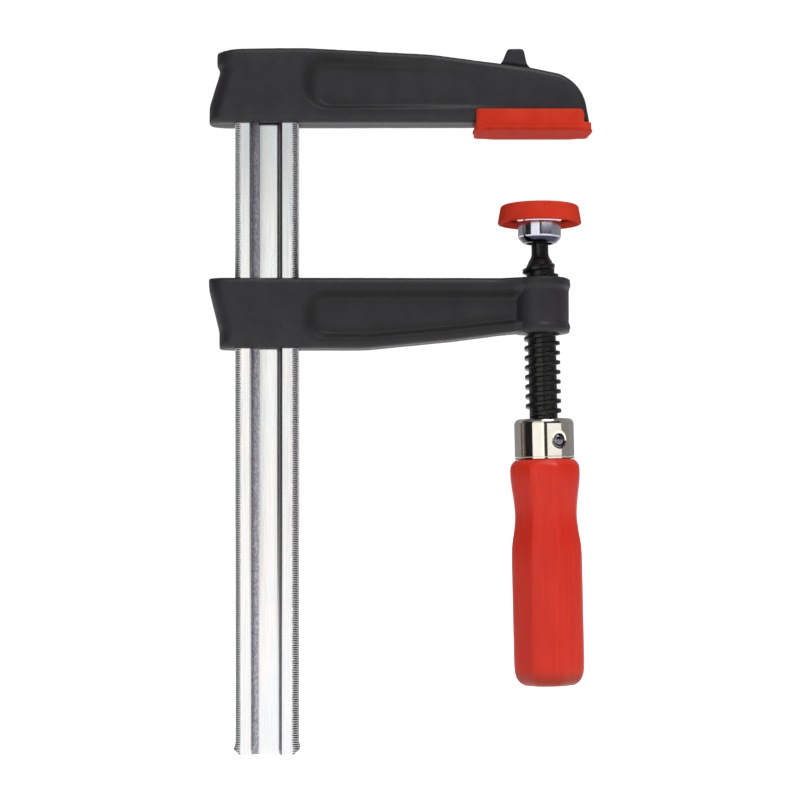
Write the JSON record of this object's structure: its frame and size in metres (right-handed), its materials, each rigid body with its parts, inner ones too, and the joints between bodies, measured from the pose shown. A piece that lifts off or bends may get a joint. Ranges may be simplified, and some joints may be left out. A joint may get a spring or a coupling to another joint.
{
  "type": "f clamp",
  "caption": "Screw clamp with a fixed and a sliding cast arm on a serrated rail, a swivelling pressure plate, protective caps and a turned wooden handle.",
  "frame": {"origin": "on the fixed arm's clamping face, the lower face of its cap, where the spindle's axis meets it", "axes": "+Z runs along the rail from the handle towards the fixed arm, +X points away from the rail towards the jaws, and Y = 0 is the plane of symmetry"},
  "size_m": [0.1591, 0.0346, 0.2917],
  "materials": {
    "zinc_plated_steel": "bright zinc plating on rolled steel",
    "painted_casting": "satin black paint over a fine cast grain",
    "black_oxide_steel": "oiled black oxide",
    "polished_nickel": "polished nickel plating",
    "red_plastic": "moulded, semi-gloss",
    "red_lacquered_wood": "opaque red lacquer",
    "spring_wire": "drawn wire"
  },
  "bodies": {
    "frame": {"rail": "zinc_plated_steel", "fixed_arm": "painted_casting", "fixed_arm_cap": "red_plastic"},
    "sliding_arm": {"sliding_arm": "painted_casting"},
    "socket_ring": {"snap_ring": "spring_wire"},
    "spindle": {"spindle": "black_oxide_steel", "ferrule": "polished_nickel", "handle": "red_lacquered_wood", "handle_pin": "black_oxide_steel"},
    "pressure_plate": {"pressure_plate": "zinc_plated_steel", "pressure_plate_cap": "red_plastic"}
  },
  "joints": [
    {"name": "arm_slide", "type": "slide", "parent": "frame", "child": "sliding_arm", "axis": [0, 0, 1], "range_m": [-0.16, 0]},
    {"name": "screw_travel", "type": "slide", "parent": "sliding_arm", "child": "socket_ring", "axis": [-0.0227, 0, 0.9997], "range_m": [-0.012, 0.026]},
    {"name": "handle_turn", "type": "hinge", "parent": "socket_ring", "child": "spindle", "pos_m": [0.0009, 0, -0.0396], "axis": [-0.0227, 0, 0.9997], "range_deg": [-1080, 2340]},
    {"name": "plate_tilt", "type": "hinge", "parent": "socket_ring", "child": "pressure_plate", "pos_m": [0.0009, 0, -0.0396], "axis": [0, 1, 0], "range_deg": [-8, 8]}
  ],
  "couplings": [
    {"joint": "screw_travel", "follows": "handle_turn", "m_per_rad": 0.00063662}
  ]
}
